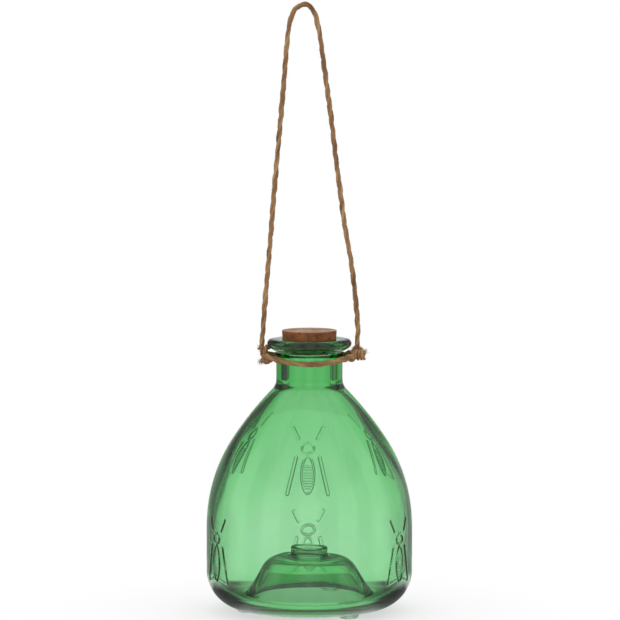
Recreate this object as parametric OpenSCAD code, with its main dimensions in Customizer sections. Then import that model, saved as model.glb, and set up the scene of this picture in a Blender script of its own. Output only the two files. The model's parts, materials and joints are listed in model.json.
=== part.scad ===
// Hanging glass fly trap: blown bottle with an entry dome in its base, cork and cord.

/* [Bottle] */
// Widest diameter of the glass body
body_d = 130; // [110:1:160]
// Height of the glass from its base to the top of the lip
bottle_h = 170.5; // [158:0.5:195]
// Radius of the rounded edge between wall and base
corner_r = 24.5; // [20:0.5:28]
// Height at which the straight wall ends and the shoulder begins
belly_h = 52; // [44:0.5:60]
// Height at which the shoulder has run into the straight neck
neck_start = 145; // [139:0.5:149]
// Outer diameter of the neck
neck_d = 41.8; // [38:0.2:46]
// Radius of the hollow curve between shoulder and neck
neck_fillet = 9; // [6:0.5:12]
// Glass thickness of the straight wall
wall = 3.2; // [2.6:0.1:4.5]
// Glass thickness of the neck
neck_wall = 6.5; // [5.5:0.1:8]
// How much thicker the glass gets from the wall up over the shoulder
shoulder_gain = 2; // [1:0.1:2.6]
// Glass thickness of the base under the bait trough
base_t = 6; // [5:0.5:7]

/* [Lip] */
// Outer diameter of the flared lip
lip_d = 53.2; // [50:0.2:58]
// Height of the flared lip
lip_h = 7.6; // [7:0.2:9]
// Rounding of the lip's outer rim
lip_rim_r = 3; // [2:0.1:3.5]

/* [Entry dome] */
// Diameter of the dome where its side meets its rounded shoulder
dome_d = 60.1; // [59.1:0.5:63.1]
// Height of the dome's top above the base
dome_h = 33.5; // [31:0.5:37]
// Rounding of the dome's shoulder
dome_round = 15; // [12:0.5:15.5]
// Lean of the dome's side
dome_lean = 29; // [26:1:32]
// Lean of the hollow under the dome
hollow_lean = 23; // [19:1:24]
// Glass thickness of the dome
dome_wall = 3; // [2.8:0.1:3.6]
// Diameter of the entry hole
hole_d = 18; // [14:0.5:22]
// Glass thickness of the short collar round the entry hole
collar_wall = 2.5; // [2:0.1:3]
// Height of that collar above the dome
collar_h = 6; // [4.5:0.5:7]

/* [Raised flies] */
// Height of one fly, from wing tips to feelers
fly_h = 40; // [36:1:43]
// How far the lines stand out from the glass
relief = 0.6; // [0.4:0.1:1]
// Height of the lower row's wing tips above the base
lower_row = 20.5; // [18:0.5:24]
// Height of the upper row's wing tips above the base
upper_row = 79; // [76:0.5:84]
// Cross lines on a fly's body
fly_stripes = 5; // [3:1:7]

/* [Feet] */
// Diameter of a foot
foot_d = 13; // [10:0.5:15]
// Height of the feet below the base
foot_h = 2.2; // [1.5:0.1:4]
// Distance of the feet from the middle
foot_ring = 39.5; // [38:0.5:41]
// Turn of the first foot from the front
foot_turn = 38.5; // [0:0.1:60]

/* [Cork] */
// Diameter of the cork at its top
cork_d = 34.4; // [31:0.2:36]
// Height of the cork
cork_h = 14; // [12.5:0.5:16]
// Height of the cork that shows above the lip
cork_proud = 5.4; // [4:0.1:7]
// Taper of the cork's side
cork_taper = 3; // [1:0.5:5]
// Gap between the cork and its seat
cork_gap = 0.1; // [0.05:0.05:0.2]
// Width of the bevel round the cork's two ends
cork_edge = 0.8; // [0.4:0.1:1.2]

/* [Cord] */
// Diameter of the cord
cord_d = 3.2; // [2.6:0.1:3.8]
// Gap between the neck cord and the neck
cord_gap = 0.3; // [0.3:0.05:0.6]
// How far the neck cord hangs below the knots at front and back
cord_dip = 4.5; // [2:0.5:6]
// Distance of a knot from the middle
knot_x = 30; // [29.5:0.5:33]
// Height of the knots below the top of the lip
knot_drop = 8.5; // [8:0.5:10]
// Gap between a knot and the end of the hanging loop
loop_gap = 0.3; // [0.3:0.05:0.5]
// Height of the hanging loop above the knots
loop_h = 221; // [180:1:260]

/* [Hidden] */
$fn = 96;

// Clear feet under the base.
foot_count = 3;
// Turns of cord in a knot.
knot_turns = 3;

body_r = body_d / 2;
neck_r = neck_d / 2;
bore_r = neck_r - neck_wall;
// Overlap of the slabs that an outline is put together from.
lap = 0.5;
lip_z = bottle_h - lip_h;

// The shoulder is two arcs, the upper twice the radius of the lower, run into the neck's hollow curve.
chord = atan((body_r - neck_r) / (neck_start - belly_h));
turn = 1.32 * chord;
rise = neck_start - belly_h;
run = neck_r + neck_fillet - body_r;
sq_a = 2 - 2 * cos(turn);
sq_b = 4 * neck_fillet - 2 * run * (1 + cos(turn)) - 2 * rise * sin(turn);
sq_c = run * run + rise * rise - neck_fillet * neck_fillet;
arc1 = (-sq_b + sqrt(sq_b * sq_b + 4 * sq_a * sq_c)) / (2 * sq_a);
arc2 = 2 * arc1;
arc1_x = body_r - arc1;
arc2_x = arc1_x - arc1 * cos(turn);
arc2_z = belly_h - arc1 * sin(turn);
top_turn = atan((neck_start - arc2_z) / (neck_r + neck_fillet - arc2_x));

// The inside follows the same two arcs, let down a little so that the glass thickens towards the neck.
in_corner = corner_r - base_t;
in_belly = belly_h - shoulder_gain;
in_arc1 = arc1 - wall;
in_arc1_top = in_belly + in_arc1 * sin(turn);
in_arc2 = arc2 - wall;
in_arc2_z = arc2_z - shoulder_gain;
in_fillet = 3;
in_x = bore_r + in_fillet;
in_z = in_arc2_z + sqrt(pow(in_arc2 + in_fillet, 2) - pow(in_x - arc2_x, 2));
in_turn = atan((in_z - in_arc2_z) / (in_x - arc2_x));
in_arc2_top = in_arc2_z + in_arc2 * sin(in_turn);

cork_r = cork_d / 2;
cork_z = bottle_h + cork_proud - cork_h;
function cork_at(z) = cork_r - (bottle_h + cork_proud - z) * tan(cork_taper);
seat_z = cork_z - 0.4;
mouth_round = 1.5;
rim_x = lip_d / 2 - lip_rim_r;
rim_z = bottle_h - lip_rim_r;
rim_far = norm([rim_x - neck_r, rim_z - lip_z]);
rim_lean = atan((rim_z - lip_z) / (rim_x - neck_r)) - asin(lip_rim_r / rim_far);
rim_line = sqrt(rim_far * rim_far - lip_rim_r * lip_rim_r);

dome_x = dome_d / 2 - dome_round * cos(dome_lean);
dome_z = dome_h - dome_round;
side_z = dome_z + dome_round * sin(dome_lean);
function dome_side(z) = dome_d / 2 + (side_z - z) * tan(dome_lean);

// The trough is round: it touches the inner corner and the dome's side or, failing that, runs into floor and side.
trough_r = 2.5;
trough_sink = 0.1;
corner_x = body_r - wall - in_corner;
trough_lead = dome_side(0) + trough_r / cos(dome_lean) - corner_x;
tr_a = 1 + pow(tan(dome_lean), 2);
tr_b = trough_lead * tan(dome_lean) + corner_r;
tr_c = trough_lead * trough_lead + corner_r * corner_r - pow(in_corner - trough_r, 2);
trough_flat = dome_side(base_t + trough_r) + trough_r / cos(dome_lean) < corner_x;
trough_z = trough_flat ? base_t + trough_r - trough_sink : (tr_b - sqrt(tr_b * tr_b - tr_a * tr_c)) / tr_a;
trough_x = dome_side(trough_z) + trough_r / cos(dome_lean) - (trough_flat ? trough_sink : 0);
trough_turn = trough_flat ? -90 : atan((trough_z - corner_r) / (trough_x - corner_x));

hole_r = hole_d / 2;
collar_r = hole_r + collar_wall;
collar_foot = 2;

hollow_r = dome_round - dome_wall;
hollow_z = dome_z + hollow_r * sin(hollow_lean);
function hollow_side(z) = dome_x + hollow_r * cos(hollow_lean) + (hollow_z - z) * tan(hollow_lean);
heel_r = 3;
heel_t = heel_r - heel_r * sin(hollow_lean);
heel_x = hollow_side(heel_t) + heel_r * cos(hollow_lean);

// Each fly's turn from the front and its height over its row, uneven as in blown glass.
upper_flies = [[0, 0], [120, 2.5], [240, 4]];
lower_flies = [[60, 0], [180, -8.5], [297, 0]];
fly_k = fly_h / 42;
fly_far = body_r + 10;
fly_near = neck_r;

cord_r = cord_d / 2;
pivot_z = bottle_h + foot_h - knot_drop;
knot_core = 2 * cord_r;
knot_r = knot_core + cord_r;
ring_x = knot_x - 2;
ring_y = neck_r + cord_gap + cord_r;
ring_z = pivot_z - 2.4;
ring_steps = 48;

// Route of the hanging loop, from the left knot up and over to the right one: across and above the knots.
loop_route = [
    [-29.1, 15],
    [-27.7, 34],
    [-25.6, 57],
    [-23.8, 80],
    [-22, 103],
    [-19.9, 126],
    [-17.8, 149],
    [-15.9, 172],
    [-14, 195],
    [-12.4, 208],
    [-9.2, 217],
    [-3.4, 221],
    [2.2, 217.5],
    [5.2, 208],
    [7.4, 195],
    [10.4, 172],
    [13.5, 149],
    [16.2, 126],
    [19.2, 103],
    [22.2, 80],
    [26.2, 57],
    [29, 34],
    [30.5, 15]
];
loop_foot = knot_r + loop_gap;
loop_points = concat(
    [[-knot_x, 0, pivot_z + loop_foot]],
    [for (p = loop_route) [p[0] * knot_x / 30, 0, pivot_z + p[1] * (loop_h - cord_r) / 221]],
    [[knot_x, 0, pivot_z + loop_foot]]
);
loop_steps = 72;
cord_sides = 8;

// A point on a smooth run through the points q, at place s along them.
function clip(i, n) = max(0, min(n, i));
function on_run(q, s) =
    let (n = len(q) - 1,
         i = clip(floor(s), n - 1),
         t = s - i,
         a = q[clip(i - 1, n)],
         b = q[i],
         c = q[i + 1],
         d = q[clip(i + 2, n)])
    0.5 * (2 * b + (c - a) * t + (2 * a - 5 * b + 4 * c - d) * t * t + (3 * b - a - 3 * c + d) * t * t * t);
function unit(v) = v / norm(v);

// Points of a ring of the cord at p, square to the direction t, with n across it.
function cord_ring(p, t, n) =
    let (b = cross(t, n))
    [for (k = [0:cord_sides - 1])
        p + cord_r * (cos(360 * k / cord_sides) * n + sin(360 * k / cord_sides) * b)];
function cord_quads(rings, closed) =
    [for (i = [0:rings - (closed ? 1 : 2)], k = [0:cord_sides - 1])
        let (j = (i + 1) % rings,
             m = (k + 1) % cord_sides)
        [i * cord_sides + k, i * cord_sides + m, j * cord_sides + m, j * cord_sides + k]];

module slab(z0, z1) {
    intersection() {
        children();
        translate([0, z0])
            square([2 * body_r, z1 - z0]);
    }
}

// Half outline of the glass seen as solid, grown outwards by g.
module outline(g = 0) {
    translate([0, -g])
        square([body_r - corner_r, corner_r + g]);
    slab(-g, corner_r)
        translate([body_r - corner_r, corner_r])
            circle(corner_r + g);
    translate([0, corner_r])
        square([body_r + g, belly_h - corner_r]);
    slab(belly_h - lap, belly_h + (arc1 + g) * sin(turn) + lap)
        translate([arc1_x, belly_h])
            circle(arc1 + g, $fn = 360);
    slab(belly_h + (arc1 + g) * sin(turn), arc2_z + (arc2 + g) * sin(top_turn) + lap)
        translate([arc2_x, arc2_z])
            circle(arc2 + g, $fn = 360);
    difference() {
        translate([0, arc2_z + (arc2 + g) * sin(top_turn)])
            square([neck_r + neck_fillet, neck_start - arc2_z - (arc2 + g) * sin(top_turn)]);
        translate([neck_r + neck_fillet, neck_start])
            circle(neck_fillet - g);
    }
    translate([0, neck_start - lap])
        square([neck_r + g, lip_z - neck_start + lap]);
}

module lip_outline() {
    polygon([
        [0, lip_z],
        [neck_r, lip_z],
        [neck_r + rim_line * cos(rim_lean), lip_z + rim_line * sin(rim_lean)],
        [rim_x, rim_z],
        [rim_x, bottle_h],
        [0, bottle_h]
    ]);
    translate([rim_x, rim_z])
        circle(lip_rim_r);
}

module dome_outline() {
    tangent_z = trough_z - trough_r * sin(dome_lean);
    difference() {
        translate([0, base_t - 1])
            square([trough_x + trough_r * cos(trough_turn), tangent_z - base_t + 1]);
        translate([trough_x, trough_z])
            circle(trough_r);
    }
    polygon([
        [0, tangent_z - 1],
        [dome_side(tangent_z - 1), tangent_z - 1],
        [dome_side(side_z), side_z],
        [0, side_z]
    ]);
    translate([0, side_z - lap])
        square([dome_x, dome_h - side_z + lap]);
    slab(side_z - lap, dome_h)
        translate([dome_x, dome_z])
            circle(dome_round);
    difference() {
        translate([0, dome_h - 1])
            square([collar_r + collar_foot, collar_foot + 1]);
        translate([collar_r + collar_foot, dome_h + collar_foot])
            circle(collar_foot);
    }
    translate([0, dome_h + collar_foot])
        square([collar_r, collar_h - collar_foot - collar_wall / 2]);
    translate([hole_r + collar_wall / 2, dome_h + collar_h - collar_wall / 2])
        circle(collar_wall / 2);
}

module cavity_outline() {
    in_r = body_r - wall;
    difference() {
        union() {
            translate([0, base_t])
                square([in_r - in_corner, in_corner]);
            slab(base_t, corner_r)
                translate([in_r - in_corner, corner_r])
                    circle(in_corner);
            translate([0, corner_r])
                square([in_r, in_belly - corner_r]);
            slab(in_belly - lap, in_arc1_top + lap)
                translate([arc1_x, in_belly])
                    circle(in_arc1, $fn = 360);
            slab(in_arc1_top, in_arc2_top + lap)
                translate([arc2_x, in_arc2_z])
                    circle(in_arc2, $fn = 360);
            difference() {
                translate([0, in_arc2_top])
                    square([in_x, in_z - in_arc2_top]);
                translate([in_x, in_z])
                    circle(in_fillet);
            }
        }
        dome_outline();
    }
    seat_r = cork_at(seat_z) + cork_gap;
    mouth_r = cork_at(bottle_h) + cork_gap;
    polygon([
        [0, in_z - lap],
        [bore_r, in_z - lap],
        [bore_r, seat_z - (seat_r - bore_r)],
        [seat_r, seat_z],
        [mouth_r, bottle_h],
        [mouth_r, bottle_h + 1],
        [0, bottle_h + 1]
    ]);
    difference() {
        translate([0, bottle_h - mouth_round])
            square([mouth_r + mouth_round, mouth_round]);
        translate([mouth_r + mouth_round, bottle_h - mouth_round])
            circle(mouth_round);
    }
}

module hollow_outline() {
    difference() {
        translate([0, -1])
            square([heel_x, heel_t + 1]);
        translate([heel_x, heel_r])
            circle(heel_r);
    }
    polygon([
        [0, heel_t - lap],
        [hollow_side(heel_t - lap), heel_t - lap],
        [hollow_side(hollow_z), hollow_z],
        [0, hollow_z]
    ]);
    translate([0, hollow_z - lap])
        square([dome_x, dome_h - dome_wall - hollow_z + lap]);
    slab(hollow_z - lap, dome_h - dome_wall)
        translate([dome_x, dome_z])
            circle(hollow_r);
    translate([0, dome_h - dome_wall - 1])
        square([hole_r, collar_h + dome_wall + 1]);
}

// A straight line of the drawing from p to q.
module stroke(p, q, w) {
    translate(p)
        rotate(atan2(q[1] - p[1], q[0] - p[0]))
            translate([0, -w / 2])
                square([norm(q - p), w]);
}

// An upright oval of four arcs, with half width a, half height b and end radius e.
module oval(a, b, e) {
    c = b - e;
    side = (c * c + a * a - e * e) / (2 * (a - e));
    reach = side * c / (side - e);
    intersection() {
        translate([a - side, 0])
            circle(side);
        translate([side - a, 0])
            circle(side);
        translate([-a, -reach])
            square([2 * a, 2 * reach]);
    }
    for (s = [-1, 1])
        translate([0, s * c])
            circle(e, $fn = 48);
}

module lying_round(r, half) {
    for (s = [-1, 1])
        translate([s * half, 0])
            circle(r, $fn = 48);
    translate([-half, -r])
        square([2 * half, 2 * r]);
}

// The drawing of one fly, from its wing tips at height 0 to its feelers.
module fly_drawing() {
    scale(fly_k) {
        for (s = [-1, 1]) {
            stroke([s * 10, 41.2], [s * 5, 34], 1.9);
            stroke([s * 6.3, 23.2], [s * 12.6, 0.4], 2);
        }
        translate([0, 28.4])
            difference() {
                lying_round(3.3, 1.4);
                lying_round(1.9, 1.4);
            }
        translate([0, 12.3])
            difference() {
                oval(5, 11.5, 3.4);
                oval(3.6, 10.1, 2);
            }
        intersection() {
            translate([0, 12.3])
                oval(4.5, 11, 2.9);
            for (i = [1:fly_stripes])
                translate([-5, 0.8 + 23 * i / (fly_stripes + 1) - 0.6])
                    square([10, 1.2]);
        }
    }
}

module fly_row(height, flies) {
    for (f = flies)
        rotate([0, 0, f[0]])
            translate([0, -fly_near, height + f[1]])
                rotate([90, 0, 0])
                    linear_extrude(height = fly_far - fly_near)
                        fly_drawing();
}

module glass_bottle() {
    color([0.45, 0.8, 0.5, 0.5])
        translate([0, 0, foot_h]) {
            rotate_extrude()
                difference() {
                    union() {
                        outline();
                        lip_outline();
                    }
                    cavity_outline();
                    hollow_outline();
                }
            intersection() {
                union() {
                    fly_row(lower_row, lower_flies);
                    fly_row(upper_row, upper_flies);
                }
                rotate_extrude()
                    difference() {
                        outline(relief);
                        outline(-1);
                    }
            }
        }
}

module foot(n) {
    color([0.85, 0.88, 0.85])
        rotate([0, 0, foot_turn + 360 * n / foot_count])
            difference() {
                translate([0, -foot_ring, 0])
                    rotate_extrude() {
                        square([foot_d / 2 - foot_h, foot_h + 1.5]);
                        translate([0, foot_h])
                            square([foot_d / 2, 1.5]);
                        slab(0, foot_h)
                            translate([foot_d / 2 - foot_h, foot_h])
                                circle(foot_h);
                    }
                translate([0, 0, foot_h])
                    rotate_extrude()
                        outline();
            }
}

module foot_right() {
    foot(0);
}

module foot_back() {
    foot(1);
}

module foot_left() {
    foot(2);
}

module cork_stopper() {
    color([0.66, 0.46, 0.3])
        translate([0, 0, foot_h])
            rotate_extrude() {
                polygon([
                    [0, cork_z],
                    [cork_at(cork_z) - cork_edge, cork_z],
                    [cork_at(cork_z + cork_edge), cork_z + cork_edge],
                    [cork_at(cork_z + cork_h - cork_edge), cork_z + cork_h - cork_edge],
                    [cork_r - cork_edge, cork_z + cork_h],
                    [0, cork_z + cork_h]
                ]);
            }
}

// The cord that lies round the neck: highest at the knots, lower at front and back.
module neck_tube() {
    spots = [for (i = [0:ring_steps - 1])
        let (a = 360 * i / ring_steps)
        [ring_x * cos(a), ring_y * sin(a), ring_z - cord_dip * pow(sin(a), 2)]];
    rings = [for (i = [0:ring_steps - 1])
        let (t = unit(spots[(i + 1) % ring_steps] - spots[(i + ring_steps - 1) % ring_steps]),
             n = unit(cross(t, [0, 0, 1])))
        cord_ring(spots[i], t, n)];
    polyhedron(points = [for (r = rings, p = r) p], faces = cord_quads(ring_steps, true));
}

module neck_cord() {
    color([0.55, 0.42, 0.27])
        neck_tube();
}

// Turns of cord wound side by side, with the neck cord passing through under the middle.
module knot(side) {
    color([0.5, 0.36, 0.22])
        difference() {
            union() {
                translate([side * knot_x, 0, pivot_z])
                    rotate([0, 90, 0])
                        rotate_extrude() {
                            translate([0, -(knot_turns - 1) * cord_r])
                                square([knot_core, 2 * (knot_turns - 1) * cord_r]);
                            for (i = [0:knot_turns - 1])
                                translate([knot_core, (2 * i - knot_turns + 1) * cord_r])
                                    circle(cord_r);
                        }
                translate([side * (knot_x - 1), 0, pivot_z - knot_core])
                    sphere(1.1 * knot_core);
            }
            translate([side * (ring_x - 0.2), 0, ring_z])
                rotate([90, 0, 0])
                    cylinder(h = 6 * knot_r, r = cord_r + 0.3, center = true);
        }
}

module left_knot() {
    knot(-1);
}

module right_knot() {
    knot(1);
}

module hanging_loop() {
    last = len(loop_points) - 1;
    spots = [for (i = [0:loop_steps]) on_run(loop_points, i * last / loop_steps)];
    rings = [for (i = [0:loop_steps])
        let (t = unit(spots[min(i + 1, loop_steps)] - spots[max(i - 1, 0)]))
        cord_ring(spots[i], t, [0, 1, 0])];
    color([0.6, 0.46, 0.3])
        polyhedron(
            points = [for (r = rings, p = r) p],
            faces = concat(
                cord_quads(loop_steps + 1, false),
                [[for (k = [cord_sides - 1:-1:0]) k]],
                [[for (k = [0:cord_sides - 1]) loop_steps * cord_sides + k]]
            )
        );
}

glass_bottle();
foot_right();
foot_back();
foot_left();
cork_stopper();
neck_cord();
left_knot();
right_knot();
hanging_loop();
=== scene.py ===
import json
import math
import random

import bpy
import numpy as np
from mathutils import Vector, noise
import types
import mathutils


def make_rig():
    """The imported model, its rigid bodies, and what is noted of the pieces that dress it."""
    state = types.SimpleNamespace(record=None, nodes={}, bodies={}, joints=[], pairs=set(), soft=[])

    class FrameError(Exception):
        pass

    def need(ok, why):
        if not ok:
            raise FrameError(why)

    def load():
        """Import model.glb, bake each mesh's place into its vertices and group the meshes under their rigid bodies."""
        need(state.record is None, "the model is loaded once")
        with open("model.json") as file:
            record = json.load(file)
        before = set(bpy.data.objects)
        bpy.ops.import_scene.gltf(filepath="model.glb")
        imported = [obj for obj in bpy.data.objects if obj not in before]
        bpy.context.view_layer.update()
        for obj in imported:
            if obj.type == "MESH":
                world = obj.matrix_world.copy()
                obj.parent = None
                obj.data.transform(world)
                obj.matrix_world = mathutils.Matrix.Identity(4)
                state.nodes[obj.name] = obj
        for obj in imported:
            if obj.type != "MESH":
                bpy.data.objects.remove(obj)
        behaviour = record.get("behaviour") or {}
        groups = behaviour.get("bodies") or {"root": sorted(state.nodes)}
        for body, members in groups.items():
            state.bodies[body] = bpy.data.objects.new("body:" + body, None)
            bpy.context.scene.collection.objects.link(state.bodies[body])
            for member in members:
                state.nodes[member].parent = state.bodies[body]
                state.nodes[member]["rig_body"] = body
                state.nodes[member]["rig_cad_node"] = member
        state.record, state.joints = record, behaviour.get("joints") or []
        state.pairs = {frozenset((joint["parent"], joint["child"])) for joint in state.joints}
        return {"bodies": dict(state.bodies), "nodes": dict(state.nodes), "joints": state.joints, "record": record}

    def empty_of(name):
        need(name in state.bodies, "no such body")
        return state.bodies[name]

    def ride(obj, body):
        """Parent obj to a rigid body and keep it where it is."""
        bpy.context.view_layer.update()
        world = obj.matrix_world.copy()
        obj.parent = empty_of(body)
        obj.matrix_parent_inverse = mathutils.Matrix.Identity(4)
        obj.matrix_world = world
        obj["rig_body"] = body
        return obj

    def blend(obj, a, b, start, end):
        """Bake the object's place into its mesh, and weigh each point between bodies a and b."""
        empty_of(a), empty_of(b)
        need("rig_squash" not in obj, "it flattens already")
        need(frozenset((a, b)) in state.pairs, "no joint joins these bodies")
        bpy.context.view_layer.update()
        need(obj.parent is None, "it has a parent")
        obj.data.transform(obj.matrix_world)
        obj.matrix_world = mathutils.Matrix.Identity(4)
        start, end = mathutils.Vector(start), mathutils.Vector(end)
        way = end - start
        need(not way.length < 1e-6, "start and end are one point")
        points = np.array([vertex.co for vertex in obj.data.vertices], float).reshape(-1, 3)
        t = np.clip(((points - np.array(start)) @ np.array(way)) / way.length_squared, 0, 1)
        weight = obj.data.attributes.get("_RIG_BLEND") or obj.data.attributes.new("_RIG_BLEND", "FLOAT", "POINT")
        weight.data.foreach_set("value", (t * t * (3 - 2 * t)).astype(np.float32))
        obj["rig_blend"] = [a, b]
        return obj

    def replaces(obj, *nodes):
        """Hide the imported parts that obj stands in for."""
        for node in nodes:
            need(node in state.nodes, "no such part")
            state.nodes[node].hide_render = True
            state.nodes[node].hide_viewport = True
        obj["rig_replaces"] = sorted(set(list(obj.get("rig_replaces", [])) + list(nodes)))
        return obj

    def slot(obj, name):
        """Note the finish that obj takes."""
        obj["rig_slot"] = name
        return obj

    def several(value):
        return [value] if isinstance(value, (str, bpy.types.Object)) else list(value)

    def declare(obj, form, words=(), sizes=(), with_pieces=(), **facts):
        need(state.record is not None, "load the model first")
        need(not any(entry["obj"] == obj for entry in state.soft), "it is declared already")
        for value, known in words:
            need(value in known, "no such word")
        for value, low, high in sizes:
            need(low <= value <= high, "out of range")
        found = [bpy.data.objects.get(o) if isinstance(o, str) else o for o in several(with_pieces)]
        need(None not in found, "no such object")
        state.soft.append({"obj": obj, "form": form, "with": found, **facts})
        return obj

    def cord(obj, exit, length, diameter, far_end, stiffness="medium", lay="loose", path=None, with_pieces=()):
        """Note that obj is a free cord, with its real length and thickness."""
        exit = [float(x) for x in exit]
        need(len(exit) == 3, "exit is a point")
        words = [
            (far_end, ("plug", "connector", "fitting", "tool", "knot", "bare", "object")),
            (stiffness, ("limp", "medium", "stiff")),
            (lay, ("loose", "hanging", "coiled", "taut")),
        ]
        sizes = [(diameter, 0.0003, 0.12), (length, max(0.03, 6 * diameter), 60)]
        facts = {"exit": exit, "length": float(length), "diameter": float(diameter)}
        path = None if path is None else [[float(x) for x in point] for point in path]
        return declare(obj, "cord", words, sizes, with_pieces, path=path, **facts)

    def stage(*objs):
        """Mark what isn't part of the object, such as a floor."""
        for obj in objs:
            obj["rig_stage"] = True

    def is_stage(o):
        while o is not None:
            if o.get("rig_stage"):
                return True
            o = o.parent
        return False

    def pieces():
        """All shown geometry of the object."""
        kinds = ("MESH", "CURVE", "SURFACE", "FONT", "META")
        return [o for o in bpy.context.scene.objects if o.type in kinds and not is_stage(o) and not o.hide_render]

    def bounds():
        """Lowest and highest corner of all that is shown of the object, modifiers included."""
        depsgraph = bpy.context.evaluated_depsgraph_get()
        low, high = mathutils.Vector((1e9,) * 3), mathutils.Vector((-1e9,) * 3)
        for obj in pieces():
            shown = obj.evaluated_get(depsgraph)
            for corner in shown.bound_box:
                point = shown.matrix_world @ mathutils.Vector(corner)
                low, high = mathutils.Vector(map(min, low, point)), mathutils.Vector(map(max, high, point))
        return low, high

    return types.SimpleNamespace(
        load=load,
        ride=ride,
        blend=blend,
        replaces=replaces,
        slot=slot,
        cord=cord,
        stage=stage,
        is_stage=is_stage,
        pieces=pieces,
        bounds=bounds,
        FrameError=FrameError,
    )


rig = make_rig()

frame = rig.load()
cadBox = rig.bounds()
scene = bpy.context.scene
mm = 0.001


# camera, set to the photograph's low view
view = {
    "target": (0.0004, 0.0, 0.1907),
    "distance": 2.5,
    "elevation": 4.9,
    "lens": 231.1,
    "sensor": 36,
    "farthest": 50,
}
cameraData = bpy.data.cameras.new("camera")
cameraData.sensor_width = view["sensor"]
cameraData.lens = view["lens"]
cameraData.clip_end = view["farthest"]
camera = bpy.data.objects.new("camera", cameraData)
scene.collection.objects.link(camera)
tilt = math.radians(view["elevation"])
camera.location = (
    view["target"][0],
    view["target"][1] - view["distance"] * math.cos(tilt),
    view["target"][2] + view["distance"] * math.sin(tilt),
)
camera.rotation_euler = (math.pi / 2 - tilt, 0, 0)
scene.camera = camera
scene.view_settings.view_transform = "Standard"
print("camera set")


def deselectAll():
    if bpy.context.mode != "OBJECT":
        bpy.ops.object.mode_set(mode="OBJECT")
    bpy.ops.object.select_all(action="DESELECT")


def activate(obj):
    deselectAll()
    obj.select_set(True)
    bpy.context.view_layer.objects.active = obj


def getCoords(mesh):
    co = np.empty(len(mesh.vertices) * 3)
    mesh.vertices.foreach_get("co", co)
    return co.reshape(-1, 3)


def setCoords(mesh, co):
    mesh.vertices.foreach_set("co", np.ascontiguousarray(co).ravel())
    mesh.update()


def addValues(mesh, name, values):
    # one number for each vertex, for a material to read
    mesh.attributes.new(name, "FLOAT", "POINT").data.foreach_set("value", values)


def smoothShade(obj):
    obj.data.polygons.foreach_set("use_smooth", [True] * len(obj.data.polygons))


def sinDeg(a):
    return math.sin(math.radians(a))


def cosDeg(a):
    return math.cos(math.radians(a))


def tanDeg(a):
    return math.tan(math.radians(a))


def plug(tree, socket, value):
    # another node's output is linked, and a number or a colour is set
    if isinstance(value, bpy.types.NodeSocket):
        tree.links.new(value, socket)
    else:
        socket.default_value = value


def addNode(tree, kind, inputs=None, **props):
    node = tree.nodes.new(kind)
    for key, value in props.items():
        setattr(node, key, value)
    for key, value in (inputs or {}).items():
        plug(tree, node.inputs[key], value)
    return node


def addMath(tree, operation, *inputs):
    return addNode(tree, "ShaderNodeMath", dict(enumerate(inputs)), operation=operation).outputs[0]


def addRange(tree, value, start, end, low=0.0, high=1.0, kind="SMOOTHSTEP"):
    inputs = {"Value": value, "From Min": start, "From Max": end, "To Min": low, "To Max": high}
    return addNode(tree, "ShaderNodeMapRange", inputs, interpolation_type=kind).outputs[0]


def addMix(tree, amount, a, b):
    return addNode(tree, "ShaderNodeMix", {0: amount, 2: a, 3: b}, data_type="FLOAT").outputs[0]


def addColourMix(tree, amount, a, b):
    return addNode(tree, "ShaderNodeMix", {0: amount, 6: a, 7: b}, data_type="RGBA").outputs[2]


def addRamp(tree, source, stops):
    ramp = addNode(tree, "ShaderNodeValToRGB", {"Fac": source})
    while len(ramp.color_ramp.elements) < len(stops):
        ramp.color_ramp.elements.new(0.5)
    for element, (place, colour) in zip(ramp.color_ramp.elements, stops):
        element.position = place
        element.color = (*colour, 1)
    return ramp.outputs["Color"]


def srgb(r, g, b):
    return tuple(((c / 255 + 0.055) / 1.055) ** 2.4 if c > 10 else c / 255 / 12.92 for c in (r, g, b))


def srgbStops(stops):
    return [(place, srgb(*colour)) for place, colour in stops]


def newMaterial(name, settings=None):
    mat = bpy.data.materials.new(name)
    mat.use_nodes = True
    tree = mat.node_tree
    tree.nodes.clear()
    out = tree.nodes.new("ShaderNodeOutputMaterial")
    shader = addNode(tree, "ShaderNodeBsdfPrincipled", settings)
    tree.links.new(shader.outputs["BSDF"], out.inputs["Surface"])
    return mat, tree, shader, out


def dress(mat, *pieces):
    for piece in pieces:
        piece.data.materials.clear()
        piece.data.materials.append(mat)


# jute twine: how its strands and its loose hairs lie, with hairs in mm
twine = {
    "strandShare": {2: 0.56, 3: 0.53},  # a strand's part of the cord's diameter, for two or three strands
    "sides": 10,
    "lumps": (0.07, 0.05),
    "thin": (0.93, 0.07),
    "wander": 0.1,
    "fibre": 0.16,
    "uvLength": 0.01,
    "hairSides": 3,
    "hairSteps": 5,
    "hairBend": (0.15, 0.6),
    "hairTone": (0.25, 0.95),
    "hairTaper": 0.75,
    "hairRoot": 0.36,
    "hairLean": (0.6, 2.2),
    "hairLength": (1.2, 3.6),
    "hairThick": (0.035, 0.075),
}


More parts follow.
